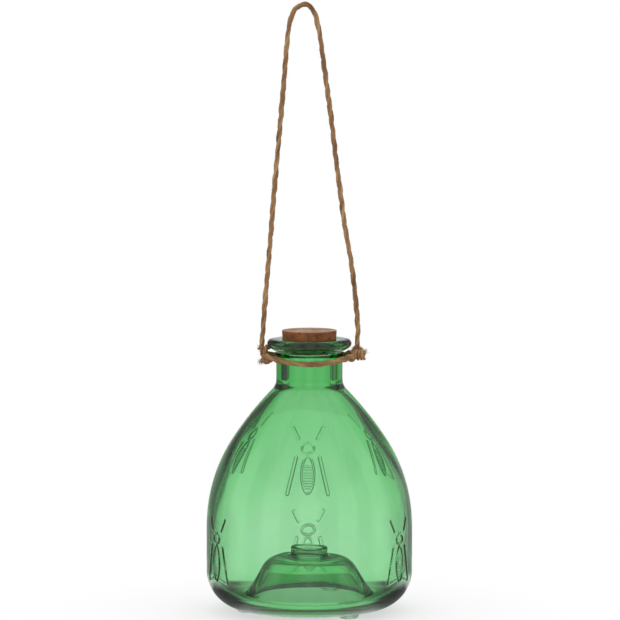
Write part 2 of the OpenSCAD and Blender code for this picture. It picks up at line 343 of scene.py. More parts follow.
def smoothRun(points, step, closed=False):
    # even steps along a smooth curve through the points
    pts = [Vector(p) for p in points]
    count = len(pts)
    fine = []
    for i in range(count if closed else count - 1):
        if closed:
            a, b, c, d = (pts[(i + k) % count] for k in (-1, 0, 1, 2))
        else:
            a, b, c, d = pts[max(i - 1, 0)], pts[i], pts[i + 1], pts[min(i + 2, count - 1)]
        for k in range(24):
            t = k / 24
            fine.append(0.5 * (2 * b + (c - a) * t + (2 * a - 5 * b + 4 * c - d) * t * t
                               + (3 * b - a - 3 * c + d) * t ** 3))
    fine.append(pts[0].copy() if closed else pts[-1].copy())
    fine = np.array([tuple(p) for p in fine])
    along = np.concatenate([[0], np.cumsum(np.linalg.norm(np.diff(fine, axis=0), axis=1))])
    n = max(8, int(round(along[-1] / step)))
    at = np.linspace(0, along[-1], n + 1)
    run = np.stack([np.interp(at, along, fine[:, k]) for k in range(3)], axis=1)
    return run, along[-1]


def runFrames(run, closed=False):
    # a steady pair of cross directions along the run, with no twist of its own
    tangents = np.gradient(run, axis=0)
    if closed:
        tangents[0] = tangents[-1] = run[1] - run[-2]
    tangents /= np.linalg.norm(tangents, axis=1)[:, None]
    across = np.empty_like(run)
    first = np.array([0.0, 1.0, 0.0]) if abs(tangents[0][1]) < 0.9 else np.array([0.0, 0.0, 1.0])
    for i, t in enumerate(tangents):
        first = first - t * np.dot(first, t)
        first /= np.linalg.norm(first)
        across[i] = first
    other = np.cross(tangents, across)
    if closed:
        # spread the turn that is left at the join
        turn = math.atan2(np.dot(across[0], other[-1]), np.dot(across[0], across[-1]))
        angle = np.linspace(0, turn, len(run))[:, None]
        across, other = (across * np.cos(angle) + other * np.sin(angle),
                         other * np.cos(angle) - across * np.sin(angle))
    return tangents, across, other


def twineMesh(name, verts, faces, uvs, tone):
    mesh = bpy.data.meshes.new(name)
    mesh.from_pydata(verts, [], faces)
    obj = bpy.data.objects.new(name, mesh)
    scene.collection.objects.link(obj)
    layer = mesh.uv_layers.new(name="along")
    layer.data.foreach_set("uv", [c for face in uvs for uv in face for c in uv])
    addValues(mesh, "tone", tone)
    smoothShade(obj)
    return obj


def twistedCord(name, run, length, diameter, strands, pitch, seed, closed=False, start=0.0):
    # strands laid round the run, each a tube with uneven fibres along it
    rng = random.Random(seed)
    sides = twine["sides"]
    strandR = diameter / 2 * twine["strandShare"][strands]
    offset = diameter / 2 - strandR
    across, other = runFrames(run, closed)[1:]
    spans = len(run) - 1
    rings = spans if closed else spans + 1
    turns = length / pitch
    if closed:
        turns = round(turns)
    verts, faces, uvs, tone = [], [], [], []
    for s in range(strands):
        base = len(verts)
        phase = start + 2 * math.pi * s / strands
        wobble = [rng.uniform(0, 6.28) for _ in range(4)]
        shift = rng.uniform(0, 50)
        for i in range(rings):
            f = i / spans
            a = phase + 2 * math.pi * turns * f
            d = f * length / mm
            uneven = (1 + twine["lumps"][0] * math.sin(d * 0.43 + wobble[0])
                      + twine["lumps"][1] * math.sin(d * 1.3 + wobble[1]))
            slow = math.sin(d * 0.17 + seed) * math.sin(d * 0.071 + 2 * seed)
            thin = twine["thin"][0] + twine["thin"][1] * slow
            out = across[i] * math.cos(a) + other[i] * math.sin(a)
            side = -across[i] * math.sin(a) + other[i] * math.cos(a)
            centre = run[i] + out * offset * thin * (1 + twine["wander"] * math.sin(d * 0.31 + wobble[2]))
            for k in range(sides):
                b = 2 * math.pi * k / sides
                spin = b - 2.2 * a
                fibre = noise.noise(Vector((d * 0.3 + shift, 2.6 * math.cos(spin), 2.6 * math.sin(spin))))
                r = strandR * thin * uneven * (1 + twine["fibre"] * fibre)
                verts.append(tuple(centre + (out * math.cos(b) + side * math.sin(b)) * r))
                tone.append(0.5 + 0.5 * noise.noise(Vector((d * 0.09 + shift, s * 7.3, 0.0))))
        for i in range(spans):
            here, there = base + i * sides, base + (i + 1) % rings * sides
            u0, u1 = (n / spans * length / twine["uvLength"] for n in (i, i + 1))
            for k in range(sides):
                m = (k + 1) % sides
                faces.append((here + k, here + m, there + m, there + k))
                v0, v1 = k / sides + s, (k + 1) / sides + s
                uvs.append(((u0, v0), (u0, v1), (u1, v1), (u1, v0)))
        if not closed:
            faces.append(tuple(base + k for k in reversed(range(sides))))
            faces.append(tuple(base + spans * sides + k for k in range(sides)))
            uvs += [((0, 0),) * sides] * 2
    return twineMesh(name, verts, faces, uvs, tone)


def scatter(rng, spread):
    return Vector((rng.gauss(0, spread), rng.gauss(0, spread), rng.gauss(0, spread)))


def fibreTufts(name, starts, seed):
    # loose fibres: each start is a point, a direction, a length and a thickness
    rng = random.Random(seed)
    sides, steps = twine["hairSides"], twine["hairSteps"]
    verts, faces, uvs, tone = [], [], [], []
    for point, way, length, thick in starts:
        base = len(verts)
        p, d = Vector(point), Vector(way).normalized()
        bend = scatter(rng, 1)
        bend = (bend - d * bend.dot(d)).normalized() * rng.uniform(*twine["hairBend"])
        side = d.orthogonal().normalized()
        other = d.cross(side)
        shade = rng.uniform(*twine["hairTone"])
        for i in range(steps + 1):
            t = i / steps
            centre = p + d * (length * t) + bend * (length * t * t)
            r = thick * (1 - twine["hairTaper"] * t)
            for k in range(sides):
                a = 2 * math.pi * k / sides
                verts.append(tuple(centre + (side * math.cos(a) + other * math.sin(a)) * r))
                tone.append(shade)
        for i in range(steps):
            here, there = base + i * sides, base + (i + 1) * sides
            u0, u1 = i * 0.1, i * 0.1 + 0.1
            for k in range(sides):
                m = (k + 1) % sides
                faces.append((here + k, here + m, there + m, there + k))
                uvs.append(((u0, shade), (u0, shade + 0.2), (u1, shade + 0.2), (u1, shade)))
        faces.append(tuple(base + k for k in reversed(range(sides))))
        faces.append(tuple(base + steps * sides + k for k in range(sides)))
        uvs += [((0, 0),) * sides] * 2
    return twineMesh(name, verts, faces, uvs, tone)


def fuzzOn(run, diameter, count, seed, first=0.02, last=0.98):
    # hairs that stand off a cord's surface
    rng = random.Random(seed)
    tangents, across, other = runFrames(run)
    starts = []
    for _ in range(count):
        i = int(rng.uniform(first, last) * (len(run) - 1))
        a = rng.uniform(0, 2 * math.pi)
        out = across[i] * math.cos(a) + other[i] * math.sin(a)
        lean = tangents[i] * rng.choice((-1, 1)) * rng.uniform(*twine["hairLean"])
        starts.append((tuple(run[i] + out * diameter * twine["hairRoot"]), tuple(out + lean),
                       rng.uniform(*twine["hairLength"]) * mm, rng.uniform(*twine["hairThick"]) * mm))
    return starts


def joinPieces(name, pieces):
    activate(pieces[0])
    for piece in pieces[1:]:
        piece.select_set(True)
    bpy.ops.object.join()
    pieces[0].name = pieces[0].data.name = name
    deselectAll()
    return pieces[0]


# hanging loop, in metres: its route goes from the left knot up and over to the right one
loop = {
    "diameter": 3.2 * mm,
    "drawn": 3.65 * mm,
    "pivotZ": 164.2 * mm,
    "strands": 3,
    "pitch": 27 * mm,
    "step": 0.6 * mm,
    "hairs": 300,
    "route": [
        (-0.0300, 0, 0.1670), (-0.0300, 0, 0.1693), (-0.0291, 0, 0.1791), (-0.0277, 0, 0.1980),
        (-0.0256, 0, 0.2208), (-0.0238, 0, 0.2436), (-0.0220, 0, 0.2665), (-0.0199, 0, 0.2893),
        (-0.0178, 0, 0.3121), (-0.0159, 0, 0.3348), (-0.0140, 0, 0.3574), (-0.0124, 0, 0.3698),
        (-0.0092, 0, 0.3784), (-0.0034, 0, 0.3822), (0.0022, 0, 0.3788), (0.0052, 0, 0.3698),
        (0.0074, 0, 0.3574), (0.0104, 0, 0.3350), (0.0135, 0, 0.3121), (0.0162, 0, 0.2893),
        (0.0192, 0, 0.2665), (0.0222, 0, 0.2436), (0.0262, 0, 0.2208), (0.0290, 0, 0.1980),
        (0.0305, 0, 0.1791), (0.0300, 0, 0.1693), (0.0300, 0, 0.1670),
    ],
}
loopRun, loopLength = smoothRun(loop["route"], loop["step"])
loopCord = twistedCord("loopCord", loopRun, loopLength, loop["drawn"], loop["strands"], loop["pitch"], 3)
loopFuzz = fibreTufts("loopFuzz", fuzzOn(loopRun, loop["diameter"], loop["hairs"], 11, 0.06, 0.94), 12)
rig.cord(
    loopCord,
    exit=loop["route"][0],
    length=round(loopLength, 4),
    diameter=loop["diameter"],
    far_end="object",
    stiffness="limp",
    lay="taut",
    path=[tuple(p) for p in loopRun[::4]] + [tuple(loopRun[-1])],
    with_pieces=[loopFuzz],
)
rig.blend(loopCord, "collar", "loop", (0, 0, loop["pivotZ"] + 3 * mm), (0, 0, loop["pivotZ"] + 12 * mm))
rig.ride(loopFuzz, "loop")
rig.replaces(loopCord, "hanging_loop")
print("hanging loop made", round(loopLength, 4))


# cord round the neck: an oval ring in mm, lower at front and back
neckTie = {
    "drawn": 3.9,
    "ringX": 28.0,
    "ringY": 23.0,
    "ringZ": 162.6,
    "dip": 4.0,
    "points": 48,
    "strands": 3,
    "pitch": 25,
    "step": 0.6,
    "hairs": 90,
}
ringPoints = []
for i in range(neckTie["points"]):
    a = 2 * math.pi * i / neckTie["points"]
    ringPoints.append((neckTie["ringX"] * math.cos(a) * mm, neckTie["ringY"] * math.sin(a) * mm,
                       (neckTie["ringZ"] - neckTie["dip"] * math.sin(a) ** 2) * mm))
ringRun, ringLength = smoothRun(ringPoints, neckTie["step"] * mm, closed=True)
neckCord = twistedCord("neckTwine", ringRun, ringLength, neckTie["drawn"] * mm, neckTie["strands"],
                       neckTie["pitch"] * mm, 8, closed=True)
neckFuzz = fibreTufts("neckFuzz", fuzzOn(ringRun, neckTie["drawn"] * mm, neckTie["hairs"], 21), 22)
neckCord = joinPieces("neckTwine", [neckCord, neckFuzz])
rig.ride(neckCord, "collar")
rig.replaces(neckCord, "neck_cord")


# knots in mm: a coil is its centre, axis, radius, turns and length, and a fray its place, direction and hairs
knots = {
    "cord": 3.4,
    "tieShare": 0.8,
    "strands": 2,
    "pitch": 11,
    "step": 0.5,
    "hairs": 30,
    "frayRoot": 0.8,
    "fraySpread": 0.6,
    "fraySplay": 0.35,
    "frayLength": (1.4, 3.2),
    "frayThick": (0.1, 0.24),
    "left": {
        "coils": (((-28.4, -1.2, 164.9), (1, 0.25, 0.1), 2.5, 2.3, 4.6),
                  ((-26.6, -4.4, 160.6), (-0.35, 1, -0.25), 2.2, 2.2, 4.2)),
        "ties": (((-30.0, 0, 168.4), (-29.4, -1.8, 165.6), (-28.2, -4.2, 162.4), (-26.2, -5.4, 159.4)),
                 ((-27.4, -3.0, 162.4), (-29.4, -4.2, 160.2), (-30.2, -4.2, 158.6))),
        "frays": (((-30.2, -4.2, 158.6), (-0.7, -0.2, -1.0), 30),
                  ((-30.6, -2.4, 167.4), (-1.0, -0.4, 0.35), 14)),
    },
    "right": {
        "coils": (((31.4, -0.8, 163.0), (1, -0.2, 0.05), 2.8, 2.6, 5.0),
                  ((26.0, -5.0, 162.2), (0.4, 1, -0.2), 2.2, 1.9, 3.8)),
        "ties": (((30.0, 0, 169.2), (28.2, -1.8, 166.2), (27.4, -4.0, 163.0), (25.2, -5.6, 160.4)),
                 ((30.0, 0, 169.0), (32.2, -2.2, 166.0), (33.2, -3.0, 163.4), (31.0, -3.6, 160.6)),
                 ((31.0, -2.8, 161.4), (33.8, -2.6, 162.4), (34.6, -2.2, 164.6))),
        "frays": (((34.6, -2.2, 164.6), (0.2, -0.2, 1.0), 30),
                  ((26.4, -4.2, 165.4), (-0.25, -0.2, 1.0), 16)),
    },
}


def winding(centre, axis, radius, turns, advance, begin):
    # points of a coil round an axis through the centre
    w = Vector(axis).normalized()
    u = w.orthogonal().normalized()
    v = w.cross(u)
    count = max(6, int(abs(turns) * 12))
    points = []
    for i in range(count + 1):
        t = i / count
        a = begin + 2 * math.pi * turns * t
        points.append(Vector(centre) + w * (t - 0.5) * advance
                      + u * math.cos(a) * radius + v * math.sin(a) * radius)
    return points


def makeKnot(name, knot, seed):
    # two small coils, the ties between them and two frayed ends
    rng = random.Random(seed)
    routes = [winding(*coil, begin=rng.uniform(0, 6)) for coil in knot["coils"]]
    routes += [[Vector(p) for p in tie] for tie in knot["ties"]]
    pieces = []
    for n, route in enumerate(routes):
        run, length = smoothRun([tuple(p * mm) for p in route], knots["step"] * mm)
        size = knots["cord"] * mm * (1 if n < len(knot["coils"]) else knots["tieShare"])
        pieces.append(twistedCord(name + str(n), run, length, size, knots["strands"], knots["pitch"] * mm,
                                  seed + n, start=rng.uniform(0, 6)))
        hairs = fuzzOn(run, size, knots["hairs"], seed + 40 + n)
        pieces.append(fibreTufts(name + "hair" + str(n), hairs, seed + 60 + n))
    starts = []
    for end, way, count in knot["frays"]:
        end, way = Vector(end), Vector(way).normalized()
        for _ in range(count):
            off = scatter(rng, knots["fraySpread"])
            splay = way + scatter(rng, knots["fraySplay"])
            root = (end + off - way * knots["frayRoot"]) * mm
            starts.append((tuple(root), tuple(splay), rng.uniform(*knots["frayLength"]) * mm,
                           rng.uniform(*knots["frayThick"]) * mm))
    pieces.append(fibreTufts(name + "fray", starts, seed + 90))
    return joinPieces(name, pieces)


leftKnot = makeKnot("leftKnotTwine", knots["left"], 31)
rightKnot = makeKnot("rightKnotTwine", knots["right"], 57)
for piece, node in ((leftKnot, "left_knot"), (rightKnot, "right_knot")):
    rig.ride(piece, "collar")
    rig.replaces(piece, node)
juteObjects = [loopCord, loopFuzz, neckCord, leftKnot, rightKnot]
for piece in juteObjects:
    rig.slot(piece, "jute")
print("knots made")


# glass bottle: one closed outline, spun, with the flies raised in its outer face, in mm and degrees
bottle = {
    "foot": 2.2,
    "bodyR": 65.0,
    "height": 170.5,
    "cornerR": 24.5,
    "bellyZ": 52.0,
    "swell": 1.32,
    "neckZ": 145.0,
    "neckR": 20.9,
    "neckFillet": 9.0,
    "throatFillet": 3.0,
    "wall": 3.2,
    "neckWall": 6.5,
    "shoulderGain": 2.0,
    "baseT": 6.0,
    "heelR": 3.0,
    "troughR": 2.5,
    "lipR": 26.6,
    "lipH": 7.6,
    "rimR": 3.0,
    "mouthRound": 1.5,
    "seatDrop": 0.4,
    "domeR": 30.05,
    "domeH": 33.5,
    "domeRound": 15.0,
    "domeLean": 29.0,
    "hollowLean": 23.0,
    "domeWall": 3.0,
    "holeR": 9.0,
    "holeRound": 1,
    "collarWall": 2.5,
    "collarH": 6.0,
    "collarFillet": 2,
    "skin": 0.9,
    "stippleZ": 0.6,
    "stippleR": 30,
    "wavy": 0.22,
    "wavyDepth": (2, 7),  # how far under the outer face the inside lies
    "wavyHeight": (24, 128),
    "waves": ((0.5, 3, 0.045, 0.6), (0.35, 7, -0.07, 2.1), (0.3, 5, 0.11, 4.0), (0.15, 13, 0.16, 1.3)),
    "steps": 144,
    "cuts": 6,
}
corkShape = {
    "topR": 17.2,
    "height": 14.0,
    "proud": 5.4,
    "taper": 3.0,
    "gap": 0.1,
    "edge": 0.45,
    "pitDeep": 0.42,
    "topPits": 0.24,
    "crumbs": 0.1,
    "steps": 150,
}
bodyR, cornerR, bellyZ = bottle["bodyR"], bottle["cornerR"], bottle["bellyZ"]
neckR, neckZ, neckFillet = bottle["neckR"], bottle["neckZ"], bottle["neckFillet"]

# the shoulder is two arcs, the upper one of twice the radius, that run smoothly into the wall and the neck
rise = neckZ - bellyZ
reach = neckR + neckFillet - bodyR
lowTurn = bottle["swell"] * math.atan((bodyR - neckR) / rise)
qa = 2 - 2 * math.cos(lowTurn)
qb = 4 * neckFillet - 2 * reach * (1 + math.cos(lowTurn)) - 2 * rise * math.sin(lowTurn)
qc = reach ** 2 + rise ** 2 - neckFillet ** 2
arc1 = (-qb + math.sqrt(qb * qb + 4 * qa * qc)) / (2 * qa)
arc2 = 2 * arc1
arc1X = bodyR - arc1
arc2X = arc1X - arc1 * math.cos(lowTurn)
arc2Z = bellyZ - arc1 * math.sin(lowTurn)
topTurn = math.atan((neckZ - arc2Z) / (neckR + neckFillet - arc2X))
arc1Top = bellyZ + arc1 * math.sin(lowTurn)
arc2Top = arc2Z + arc2 * math.sin(topTurn)


def halfChord(r, d):
    # half the width of a circle of radius r, at d from its middle
    return np.sqrt(np.maximum(r ** 2 - d ** 2, 0))


def outerRadius(z):
    # outer radius of the plain glass at a height over its base
    r = np.where(z < cornerR, bodyR - cornerR + halfChord(cornerR, cornerR - z), bodyR)
    r = np.where(z > bellyZ, arc1X + halfChord(arc1, z - bellyZ), r)
    r = np.where(z > arc1Top, arc2X + halfChord(arc2, z - arc2Z), r)
    r = np.where(z > arc2Top, neckR + neckFillet - halfChord(neckFillet, neckZ - z), r)
    return np.where(z > neckZ, neckR, r)


def corkRadius(z):
    return corkShape["topR"] - (bottle["height"] + corkShape["proud"] - z) * tanDeg(corkShape["taper"])


def arcPoints(cx, cz, r, a0, a1, step):
    n = max(2, int(math.ceil(abs(math.radians(a1 - a0)) * r / step)))
    angles = [math.radians(a0 + (a1 - a0) * i / n) for i in range(n + 1)]
    return [(cx + r * math.cos(a), cz + r * math.sin(a)) for a in angles]


def linePoints(p, q, step):
    n = max(1, int(math.ceil(math.dist(p, q) / step)))
    return [(p[0] + (q[0] - p[0]) * i / n, p[1] + (q[1] - p[1]) * i / n) for i in range(n + 1)]


def spinOutline(name, points, steps):
    # a lathe-turned mesh from an outline of radius and height
    deselectAll()
    bpy.ops.mesh.primitive_circle_add(vertices=len(points), radius=0.01)
    obj = bpy.context.object
    obj.name = obj.data.name = name
    setCoords(obj.data, np.array([(r * mm, 0, z * mm) for r, z in points]))
    bpy.ops.object.mode_set(mode="EDIT")
    bpy.ops.mesh.select_all(action="SELECT")
    bpy.ops.mesh.spin(steps=steps, angle=2 * math.pi, center=(0, 0, 0), axis=(0, 0, 1), use_auto_merge=True)
    bpy.ops.mesh.select_all(action="SELECT")
    bpy.ops.mesh.remove_doubles(threshold=0.00001)
    bpy.ops.mesh.select_mode(type="VERT")
    bpy.ops.mesh.normals_make_consistent(inside=False)
    bpy.ops.object.mode_set(mode="OBJECT")
    return obj


def glassOutline():
    # from the heel, up the outside, over the lip, down the inside, over the dome and back under it
    lowEnd, topEnd = math.degrees(lowTurn), math.degrees(topTurn)
    lean, hollowLean = bottle["domeLean"], bottle["hollowLean"]
    height, wall, baseT = bottle["height"], bottle["wall"], bottle["baseT"]
    boreR = neckR - bottle["neckWall"]
    lipZ = height - bottle["lipH"]
    # the dome and the hollow under it
    domeR, domeH, domeRound = bottle["domeR"], bottle["domeH"], bottle["domeRound"]
    domeX = domeR - domeRound * cosDeg(lean)
    domeZ = domeH - domeRound
    sideZ = domeZ + domeRound * sinDeg(lean)
    ceilingZ = domeH - bottle["domeWall"]
    hollowR = domeRound - bottle["domeWall"]
    hollowZ = domeZ + hollowR * sinDeg(hollowLean)
    heelR = bottle["heelR"]
    heelT = heelR - heelR * sinDeg(hollowLean)

    def domeSide(z):
        return domeR + (sideZ - z) * tanDeg(lean)

    def hollowSide(z):
        return domeX + hollowR * cosDeg(hollowLean) + (hollowZ - z) * tanDeg(hollowLean)

    heelX = hollowSide(heelT) + heelR * cosDeg(hollowLean)
    # the trough: a circle that touches the dome's side and the floor or the inner corner
    troughR = bottle["troughR"]
    inCorner = cornerR - baseT
    inR = bodyR - wall
    cornerX = inR - inCorner
    troughZ = baseT + troughR
    troughX = domeSide(troughZ) + troughR / cosDeg(lean)
    troughTurn = -90
    if troughX > cornerX:
        lead = domeSide(0) + troughR / cosDeg(lean) - cornerX
        ta = 1 + tanDeg(lean) ** 2
        tb = lead * tanDeg(lean) + cornerR
        tc = lead ** 2 + cornerR ** 2 - (inCorner - troughR) ** 2
        troughZ = (tb - math.sqrt(tb * tb - ta * tc)) / ta
        troughX = lead + cornerX - troughZ * tanDeg(lean)
        troughTurn = math.degrees(math.atan2(troughZ - cornerR, troughX - cornerX))
    troughTop = troughZ - troughR * sinDeg(lean)
    # the collar round the entry hole
    holeR, holeRound, fillet = bottle["holeR"], bottle["holeRound"], bottle["collarFillet"]
    collarR = holeR + bottle["collarWall"]
    collarRound = bottle["collarWall"] / 2
    collarTop = domeH + bottle["collarH"] - collarRound
    # the cork's seat and the lip
    gap, mouthRound = corkShape["gap"], bottle["mouthRound"]
    seatZ = height + corkShape["proud"] - corkShape["height"] - bottle["seatDrop"]
    seatR = corkRadius(seatZ) + gap
    seatTop = height - mouthRound - 0.1
    boreZ = seatZ - (seatR - boreR)
    mouthX = corkRadius(height) + gap + mouthRound
    rimR = bottle["rimR"]
    rimX = bottle["lipR"] - rimR
    rimZ = height - rimR
    rimFar = math.dist((rimX, rimZ), (neckR, lipZ))
    rimLean = math.degrees(math.atan2(rimZ - lipZ, rimX - neckR) - math.asin(rimR / rimFar))
    rimLine = math.sqrt(rimFar ** 2 - rimR ** 2)
    rimFoot = (neckR + rimLine * cosDeg(rimLean), lipZ + rimLine * sinDeg(rimLean))
    # the inside of the shoulder
    inBelly = bellyZ - bottle["shoulderGain"]
    inArc2Z = arc2Z - bottle["shoulderGain"]
    inFillet = bottle["throatFillet"]
    inX = boreR + inFillet
    inZ = inArc2Z + math.sqrt((arc2 - wall + inFillet) ** 2 - (inX - arc2X) ** 2)
    inTurn = math.degrees(math.atan2(inZ - inArc2Z, inX - arc2X))
    parts = [
        linePoints((heelX, 0), (bodyR - cornerR, 0), 2.0),
        arcPoints(bodyR - cornerR, cornerR, cornerR, -90, 0, 1.7),
        linePoints((bodyR, cornerR), (bodyR, bellyZ), 2.3),
        arcPoints(arc1X, bellyZ, arc1, 0, lowEnd, 2.3),
        arcPoints(arc2X, arc2Z, arc2, lowEnd, topEnd, 2.3),
        arcPoints(neckR + neckFillet, neckZ, neckFillet, 180 + topEnd, 180, 1.0),
        linePoints((neckR, neckZ), (neckR, lipZ - 0.8), 2.0),
        linePoints((neckR + 0.25, lipZ - 0.15), rimFoot, 1.0),
        arcPoints(rimX, rimZ, rimR, rimLean - 90, 90, 0.6),
        linePoints((rimX, height), (mouthX, height), 1.2),
        arcPoints(mouthX, height - mouthRound, mouthRound, 90, 180 - corkShape["taper"], 0.5),
        linePoints((corkRadius(seatTop) + gap, seatTop), (seatR, seatZ + 0.3), 1.5),
        linePoints((seatR - 0.3, seatZ - 0.3), (boreR + 0.4, boreZ + 0.4), 0.8),
        linePoints((boreR, boreZ - 0.4), (boreR, inZ), 2.0),
        arcPoints(inX, inZ, inFillet, 180, 180 + inTurn, 0.6),
        arcPoints(arc2X, inArc2Z, arc2 - wall, inTurn, lowEnd, 2.6),
        arcPoints(arc1X, inBelly, arc1 - wall, lowEnd, 0, 2.6),
        linePoints((inR, inBelly), (inR, cornerR), 2.6),
        arcPoints(cornerX, cornerR, inCorner, 0, troughTurn, 1.5),
        linePoints((cornerX, baseT), (troughX, baseT), 1.5) if cornerX > troughX else [],
        arcPoints(troughX, troughZ, troughR, troughTurn, -180 + lean, 0.6),
        linePoints((domeSide(troughTop), troughTop), (domeR, sideZ), 2.0),
        arcPoints(domeX, domeZ, domeRound, lean, 90, 1.2),
        linePoints((domeX, domeH), (collarR + fillet, domeH), 1.2),
        arcPoints(collarR + fillet, domeH + fillet, fillet, -90, -180, 0.6),
        linePoints((collarR, domeH + fillet), (collarR, collarTop), 1.0),
        arcPoints(holeR + collarRound, collarTop, collarRound, 0, 180, 0.5),
        linePoints((holeR, collarTop), (holeR, ceilingZ + holeRound), 1.2),
        arcPoints(holeR + holeRound, ceilingZ + holeRound, holeRound, -180, -90, 0.5),
        linePoints((holeR + holeRound, ceilingZ), (domeX, ceilingZ), 1.2),
        arcPoints(domeX, domeZ, hollowR, 90, hollowLean, 1.2),
        linePoints((hollowSide(hollowZ), hollowZ), (hollowSide(heelT), heelT), 2.0),
        arcPoints(heelX, heelR, heelR, 180 + hollowLean, 270, 0.7),
    ]
    points = []
    for part in parts:
        for p in part:
            if not points or math.dist(points[-1], p) > 0.05:
                points.append(p)
    while math.dist(points[0], points[-1]) < 0.05:
        points.pop()
    return points


glass = spinOutline("glassBottle", [(r, z + bottle["foot"]) for r, z in glassOutline()], bottle["steps"])


# raised flies, in mm across and up from the wing tips: a line is its points, half width and height
fly = {
    "scale": 40 / 42,
    "lowerRow": 20.5,
    "upperRow": 79.0,
    "lower": ((60, 0), (180, -6), (297, 0)),  # each fly's turn round the bottle and its lift
    "upper": ((-1, 0.5), (120, 2.5), (240, 4)),
    "pairs": (
        (((9.9, 41.6), (8, 38), (6.1, 34.6)), 1.2, 0.5),  # feelers
        (((7.6, 23.4), (10.4, 11.8), (13.2, 0.4)), 1.3, 0.55),  # wings
        (((12.2, 0.2), (8.4, 1.2), (5.0, 2.4)), 0.7, 0.16),  # wing tips
        (((1.2, 33.4), (1.5, 32.2)), 0.6, 0.3),  # mouth
    ),
    "head": (3.9, 3.1, 28.9, 40, 2.0),  # an oval's half sides, middle, points and squareness
    "body": (4.1, 11.6, 12.6, 64, 1.86),
    "ovalLine": (0.9, 0.6),
    "stripes": 10,
    "stripeStart": 4.2,
    "stripeGap": 1.62,
    "stripeHalf": 3.4,
    "stripeLine": (0.5, 0.5),
    "slope": 0.75,
    "near": 1.6,
    "half": 15.5,
    "bottom": -2.5,
    "top": 44.0,
    "lowest": 8,
}


def ovalPoints(a, b, middle, n, power):
    pts = []
    for i in range(n + 1):
        c, s = math.cos(2 * math.pi * i / n), math.sin(2 * math.pi * i / n)
        pts.append((a * math.copysign(abs(c) ** (2 / power), c),
                    middle + b * math.copysign(abs(s) ** (2 / power), s)))
    return pts


def flyLines():
    lines = []
    for side in (-1, 1):
        lines += [([(side * u, v) for u, v in pts], half, tall) for pts, half, tall in fly["pairs"]]
    lines += [(ovalPoints(*fly[part]), *fly["ovalLine"]) for part in ("head", "body")]
    bodyHalf, bodyMiddle = fly["body"][1:3]
    for i in range(fly["stripes"]):
        v = fly["stripeStart"] + fly["stripeGap"] * i
        w = fly["stripeHalf"] * math.sqrt(max(0.05, 1 - ((v - bodyMiddle) / bodyHalf) ** 2)) - 0.4
        lines.append(([(-w, v), (w, v)], *fly["stripeLine"]))
    return lines


def lineHeight(u, v, extra=0.0):
    # how far the lines stand out at each point of the drawing
    height = np.zeros_like(u)
    for pts, half, tall in flyLines():
        half = half + extra
        pts = np.array(pts) * fly["scale"]
        best = np.full_like(u, 1e9)
        for p, q in zip(pts[:-1], pts[1:]):
            d = q - p
            t = np.clip(((u - p[0]) * d[0] + (v - p[1]) * d[1]) / max(np.dot(d, d), 1e-9), 0, 1)
            best = np.minimum(best, np.hypot(u - p[0] - t * d[0], v - p[1] - t * d[1]))
        slope = np.clip((half - best) / min(half, fly["slope"]), 0, 1)
        height = np.maximum(height, (0.5 - 0.5 * np.cos(np.pi * slope)) * tall)
    return height


def flyViews(co, margin):
    # for each fly, the drawing's coordinates of all points and which of them lie on it
    x, y, z = co[:, 0] / mm, co[:, 1] / mm, co[:, 2] / mm - bottle["foot"]
    for row, places in ((fly["lowerRow"], fly["lower"]), (fly["upperRow"], fly["upper"])):
        for turn, lift in places:
            u = x * cosDeg(turn) + y * sinDeg(turn)
            v = z - (row + lift)
            front = x * sinDeg(turn) - y * cosDeg(turn)
            on = (front > 0) & (np.abs(u) < fly["half"] + margin)
            on &= (v > fly["bottom"] - margin / 2) & (v < fly["top"] + margin)
            yield u, v, on


# the faces near a line are divided finely
mesh = glass.data
centres = np.empty(len(mesh.polygons) * 3)
mesh.polygons.foreach_get("center", centres)
centres = centres.reshape(-1, 3)
facesR = np.hypot(centres[:, 0], centres[:, 1]) / mm
isOuter = facesR > outerRadius(centres[:, 2] / mm - bottle["foot"]) - bottle["skin"]
pick = np.zeros(len(centres), dtype=bool)
for u, v, on in flyViews(centres, 0):
    pick |= isOuter & on & (lineHeight(u, v, fly["near"]) > 0)
activate(glass)
bpy.ops.object.mode_set(mode="EDIT")
bpy.ops.mesh.select_all(action="DESELECT")
bpy.ops.object.mode_set(mode="OBJECT")
mesh.polygons.foreach_set("select", pick.tolist())
bpy.ops.object.mode_set(mode="EDIT")
bpy.ops.mesh.select_mode(type="FACE")
bpy.ops.mesh.subdivide(number_cuts=bottle["cuts"])
bpy.ops.object.mode_set(mode="OBJECT")

# the outside takes the lines, and the inside is a little wavy, as the glass was blown
co = getCoords(mesh)
radius = np.hypot(co[:, 0], co[:, 1]) / mm
height = co[:, 2] / mm - bottle["foot"]
plain = outerRadius(height)
onOuter = (radius > plain - bottle["skin"]) & (height > fly["lowest"]) & (height < neckZ)
raised = np.zeros(len(co))
for u, v, on in flyViews(co, 1):
    near = onOuter & on
    raised[near] = np.maximum(raised[near], lineHeight(u[near], v[near]))
turned = np.arctan2(co[:, 0], -co[:, 1])
wavy = sum(deep * np.sin(n * turned + rate * height + lead) for deep, n, rate, lead in bottle["waves"])
depth = plain - radius
shallow, deepest = bottle["wavyDepth"]
waveLow, waveHigh = bottle["wavyHeight"]
inside = np.clip((depth - shallow) / 0.6, 0, 1) * np.clip((deepest - depth) / 0.6, 0, 1)
inside *= np.clip((height - waveLow) / 14, 0, 1) * np.clip((waveHigh - height) / 10, 0, 1)
target = np.where(onOuter, plain + raised, radius + bottle["wavy"] * wavy * inside)
co[:, :2] *= (target / np.maximum(radius, 1e-6))[:, None]
setCoords(mesh, co)
under = (height < bottle["stippleZ"]) & (radius > bottle["stippleR"])
addValues(mesh, "stipple", np.where(under, 1.0, 0.0))
smoothShade(glass)
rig.ride(glass, "bottle")
